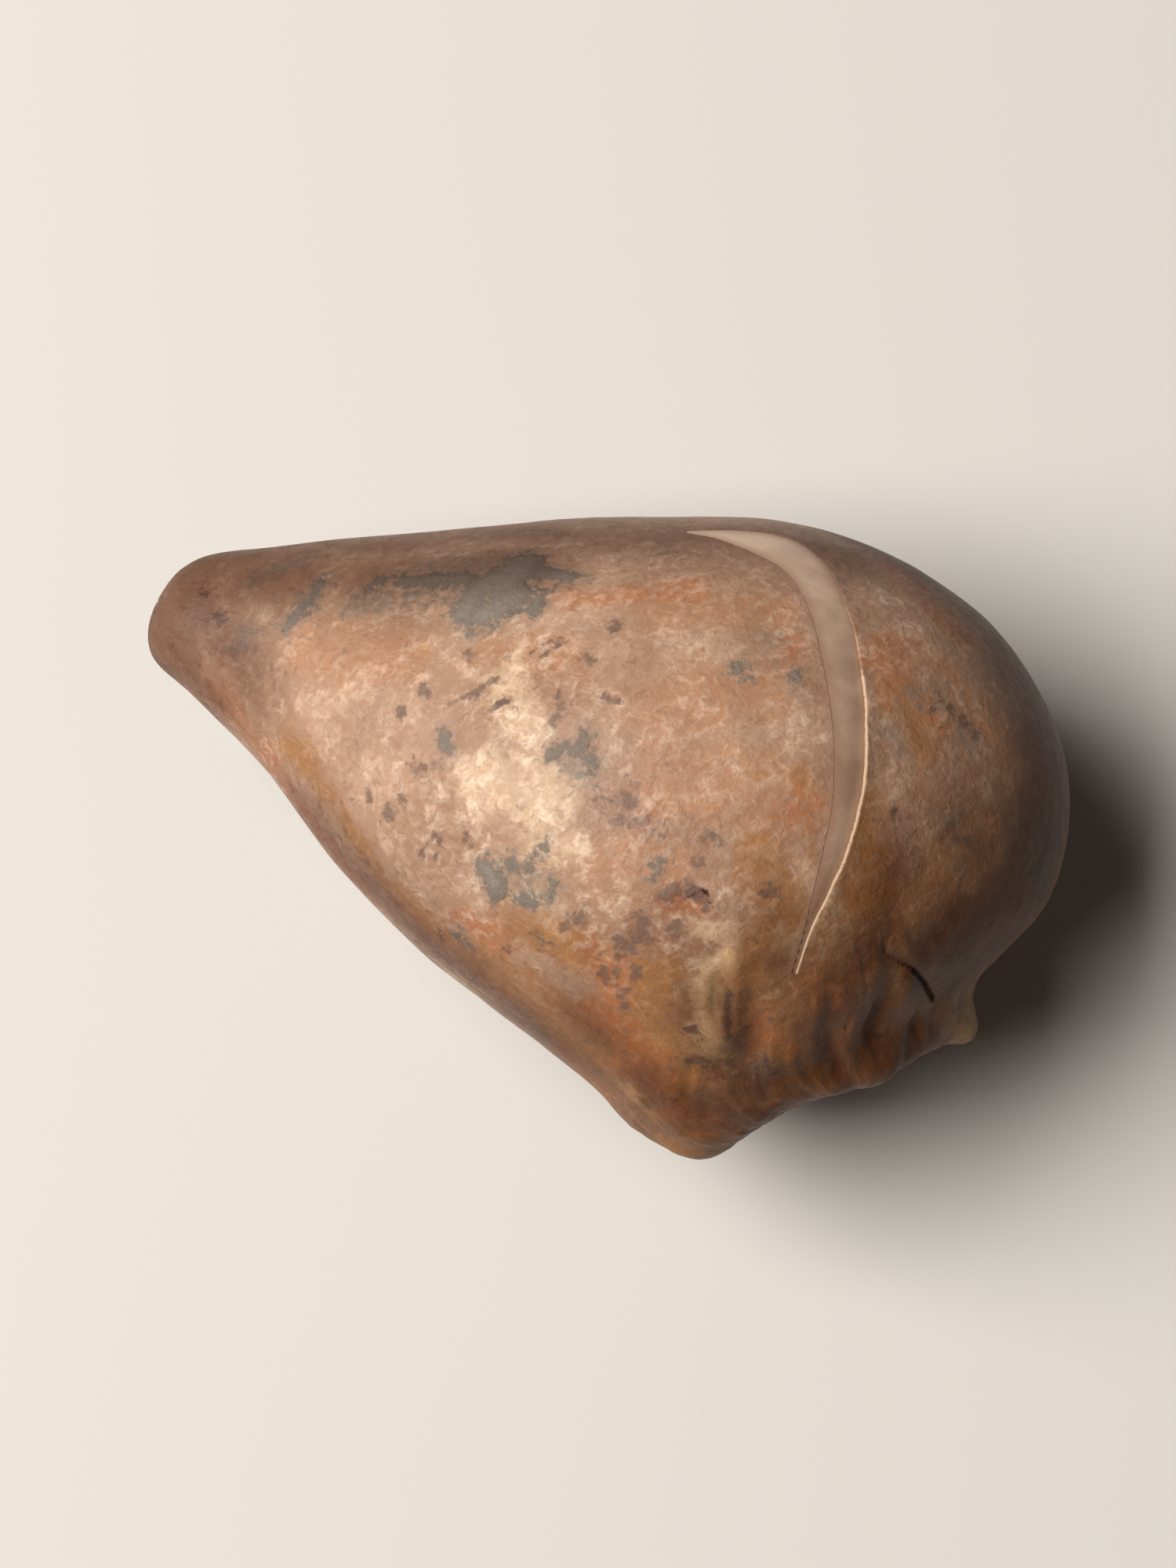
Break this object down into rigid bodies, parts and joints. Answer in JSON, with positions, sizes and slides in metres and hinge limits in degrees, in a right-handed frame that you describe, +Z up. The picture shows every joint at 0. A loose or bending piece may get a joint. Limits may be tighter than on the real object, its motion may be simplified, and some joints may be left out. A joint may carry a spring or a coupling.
{
  "type": "tulip bulb",
  "caption": "Dormant tulip bulb lying on its side: pointed fleshy scales on a corky basal plate with root stubs, in a split papery brown tunic.",
  "frame": {"origin": "on the small flat spot that the bulb rests on, straight below its centre of mass", "axes": "+Z up from the surface it lies on, +X along the bulb from its nose towards its basal end, +Y towards its fuller side"},
  "size_m": [0.0555, 0.0376, 0.0334],
  "materials": {
    "tunic": "dry papery skin with a satin sheen, fibres, speckle and dried clay",
    "flesh": "smooth waxy plant flesh",
    "cork": "dry matt corky tissue"
  },
  "bodies": {
    "root": {"tunic": "tunic", "fleshy_scales": "flesh", "basal_plate": "cork"}
  },
  "joints": []
}
